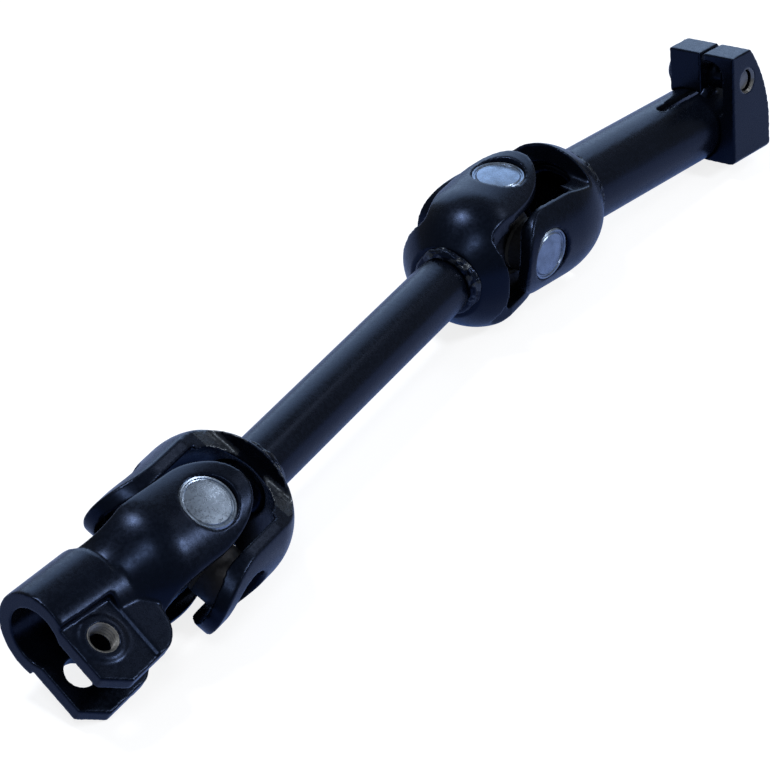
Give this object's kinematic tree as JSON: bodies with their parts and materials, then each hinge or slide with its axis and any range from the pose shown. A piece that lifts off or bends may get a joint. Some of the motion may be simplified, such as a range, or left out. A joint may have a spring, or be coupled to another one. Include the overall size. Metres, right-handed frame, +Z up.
{
  "type": "steering shaft",
  "caption": "Double-jointed steering shaft: pinch clamp yoke, cross joint, solid bar, second cross joint and slotted tube with a pinch clamp.",
  "frame": {"origin": "centre of the lower clamp yoke's bore at its mouth", "axes": "+X along the lower clamp's bore towards the joint, +Z up as the shaft lies"},
  "size_m": [0.3493, 0.082, 0.0432],
  "materials": {
    "painted_steel": "gloss blue-black paint",
    "bearing_steel": "satin drawn steel",
    "forged_steel": "ground forged steel",
    "bolt_steel": "plated steel",
    "seal_rubber": "matte rubber"
  },
  "bodies": {
    "bar_assembly": {"intermediate_bar": "painted_steel", "lower_bar_yoke": "painted_steel", "upper_bar_yoke": "painted_steel", "lower_bar_weld": "painted_steel", "upper_bar_weld": "painted_steel", "lower_bar_cup_right": "bearing_steel", "lower_bar_cup_left": "bearing_steel", "upper_bar_cup_top": "bearing_steel", "upper_bar_cup_bottom": "bearing_steel", "lower_bar_seal_right": "seal_rubber", "lower_bar_seal_left": "seal_rubber", "upper_bar_seal_top": "seal_rubber", "upper_bar_seal_bottom": "seal_rubber"},
    "lower_cross": {"lower_cross": "forged_steel"},
    "clamp_yoke_assembly": {"lower_clamp_yoke": "painted_steel", "lower_clamp_cup_top": "bearing_steel", "lower_clamp_cup_bottom": "bearing_steel", "lower_clamp_seal_top": "seal_rubber", "lower_clamp_seal_bottom": "seal_rubber"},
    "upper_cross": {"upper_cross": "forged_steel"},
    "tube_assembly": {"tube_yoke": "painted_steel", "slotted_tube": "painted_steel", "tube_weld": "painted_steel", "clamp_jaw": "painted_steel", "clamp_lug": "painted_steel", "clamp_bolt": "bolt_steel", "upper_tube_cup_right": "bearing_steel", "upper_tube_cup_left": "bearing_steel", "upper_tube_seal_right": "seal_rubber", "upper_tube_seal_left": "seal_rubber"}
  },
  "joints": [
    {"name": "lower_cross_swing", "type": "hinge", "parent": "bar_assembly", "child": "lower_cross", "pos_m": [0.053, 0, 0], "axis": [0.1653, -0.8506, -0.4991], "range_deg": [-26.5, 15.5]},
    {"name": "clamp_yoke_swing", "type": "hinge", "parent": "lower_cross", "child": "clamp_yoke_assembly", "pos_m": [0.053, 0, 0], "axis": [0, -0.506, 0.8625], "range_deg": [-11.5, 30.5]},
    {"name": "upper_cross_swing", "type": "hinge", "parent": "bar_assembly", "child": "upper_cross", "pos_m": [0.22626, 0.03368, 0], "axis": [0, 0, 1], "range_deg": [-11.3, 30.7]},
    {"name": "tube_yoke_swing", "type": "hinge", "parent": "upper_cross", "child": "tube_assembly", "pos_m": [0.22626, 0.03368, 0], "axis": [0.0227, -0.9997, 0], "range_deg": [-16.9, 25.1]}
  ]
}
